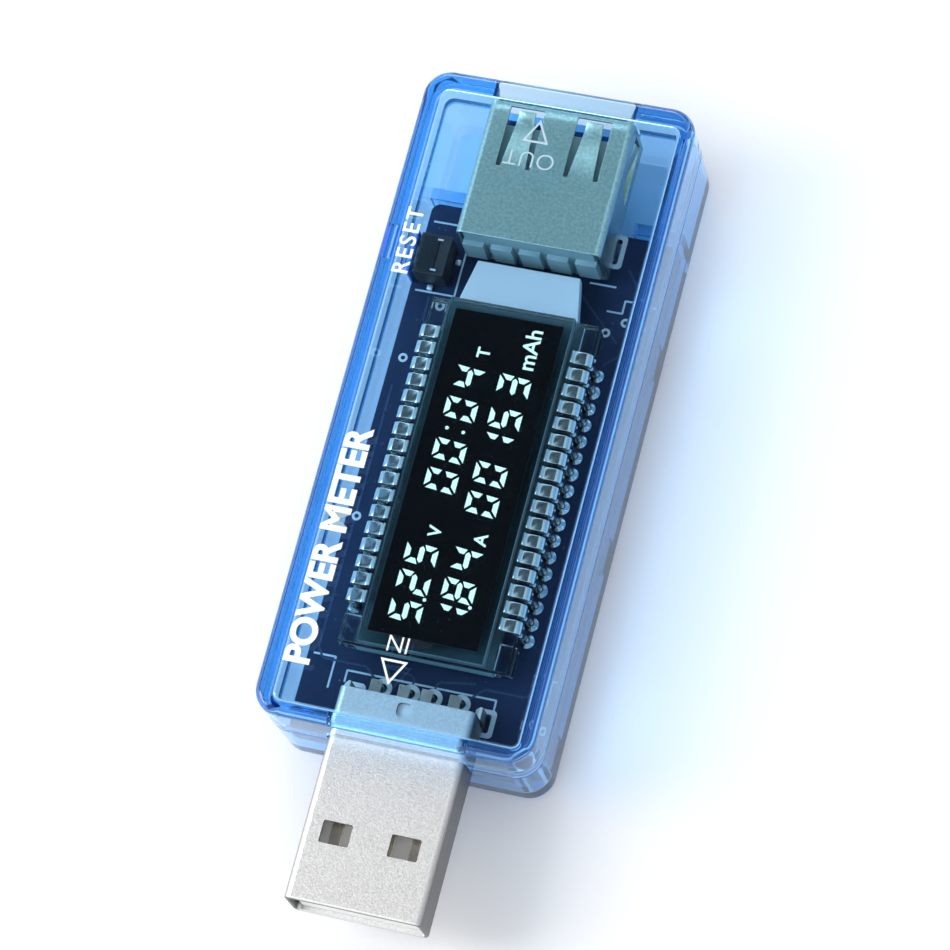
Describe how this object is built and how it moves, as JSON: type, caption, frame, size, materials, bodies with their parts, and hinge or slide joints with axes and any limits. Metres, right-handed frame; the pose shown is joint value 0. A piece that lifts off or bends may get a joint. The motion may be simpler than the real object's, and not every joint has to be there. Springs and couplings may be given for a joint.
{
  "type": "usb power meter",
  "caption": "Inline USB voltage, current and charge meter: translucent stick housing with a USB-A plug, a USB-A receptacle, a segment display and a side reset button.",
  "frame": {"origin": "under the middle of the overall box, on the surface the meter lies on", "axes": "+Z out of the display, +Y out of the receptacle, the plug points to -Y, +X to the right when the display is seen with the receptacle at the top"},
  "size_m": [0.0244, 0.074, 0.0124],
  "materials": {
    "blue_case": "clear blue polycarbonate, polished, deep blue at the edges",
    "button_plastic": "blue polycarbonate, polished",
    "board": "dark blue solder mask over glass-epoxy board, white legend",
    "display_glass": "clear soda glass with a green edge",
    "display_film": "black polarising film with lit pale segments",
    "diffuser": "milky acrylic light guide",
    "tinned_lead": "bright tin over steel",
    "connector_steel": "nickel-plated pressed steel, fine satin grain",
    "contact_gold": "gold-flashed brass",
    "connector_plastic": "moulded white insulator",
    "chip_black": "black moulded package"
  },
  "bodies": {
    "housing": {"housing_top": "blue_case", "housing_bottom": "blue_case", "circuit_board": "board", "display_backlight": "diffuser", "display_glass_rear": "display_glass", "display_glass_front": "display_glass", "display_film": "display_film", "plug_shell": "connector_steel", "plug_insulator": "connector_plastic", "receptacle_shell": "connector_steel", "receptacle_insulator": "connector_plastic", "reset_switch_body": "chip_black", "controller_chip": "chip_black", "memory_chip": "chip_black", "voltage_regulator": "chip_black", "shunt_resistor": "chip_black", "display_pin_left_01": "tinned_lead", "display_pin_left_02": "tinned_lead", "display_pin_left_03": "tinned_lead", "display_pin_left_04": "tinned_lead", "display_pin_left_05": "tinned_lead", "display_pin_left_06": "tinned_lead", "display_pin_left_07": "tinned_lead", "display_pin_left_08": "tinned_lead", "display_pin_left_09": "tinned_lead", "display_pin_left_10": "tinned_lead", "display_pin_left_11": "tinned_lead", "display_pin_left_12": "tinned_lead", "display_pin_left_13": "tinned_lead", "display_pin_left_14": "tinned_lead", "display_pin_left_15": "tinned_lead", "display_pin_left_16": "tinned_lead", "display_pin_left_17": "tinned_lead", "display_pin_right_01": "tinned_lead", "display_pin_right_02": "tinned_lead", "display_pin_right_03": "tinned_lead", "display_pin_right_04": "tinned_lead", "display_pin_right_05": "tinned_lead", "display_pin_right_06": "tinned_lead", "display_pin_right_07": "tinned_lead", "display_pin_right_08": "tinned_lead", "display_pin_right_09": "tinned_lead", "display_pin_right_10": "tinned_lead", "display_pin_right_11": "tinned_lead", "display_pin_right_12": "tinned_lead", "display_pin_right_13": "tinned_lead", "display_pin_right_14": "tinned_lead", "display_pin_right_15": "tinned_lead", "display_pin_right_16": "tinned_lead", "display_pin_right_17": "tinned_lead", "plug_contact_1": "contact_gold", "plug_contact_2": "contact_gold", "plug_contact_3": "contact_gold", "plug_contact_4": "contact_gold", "receptacle_contact_1": "contact_gold", "receptacle_contact_2": "contact_gold", "receptacle_contact_3": "contact_gold", "receptacle_contact_4": "contact_gold"},
    "reset_key": {"reset_button": "button_plastic", "reset_switch_plunger": "connector_plastic"}
  },
  "joints": [
    {"name": "reset_press", "type": "slide", "parent": "housing", "child": "reset_key", "axis": [1, 0, 0], "range_m": [0, 0.00025], "stiffness_N_per_m": 6000}
  ]
}
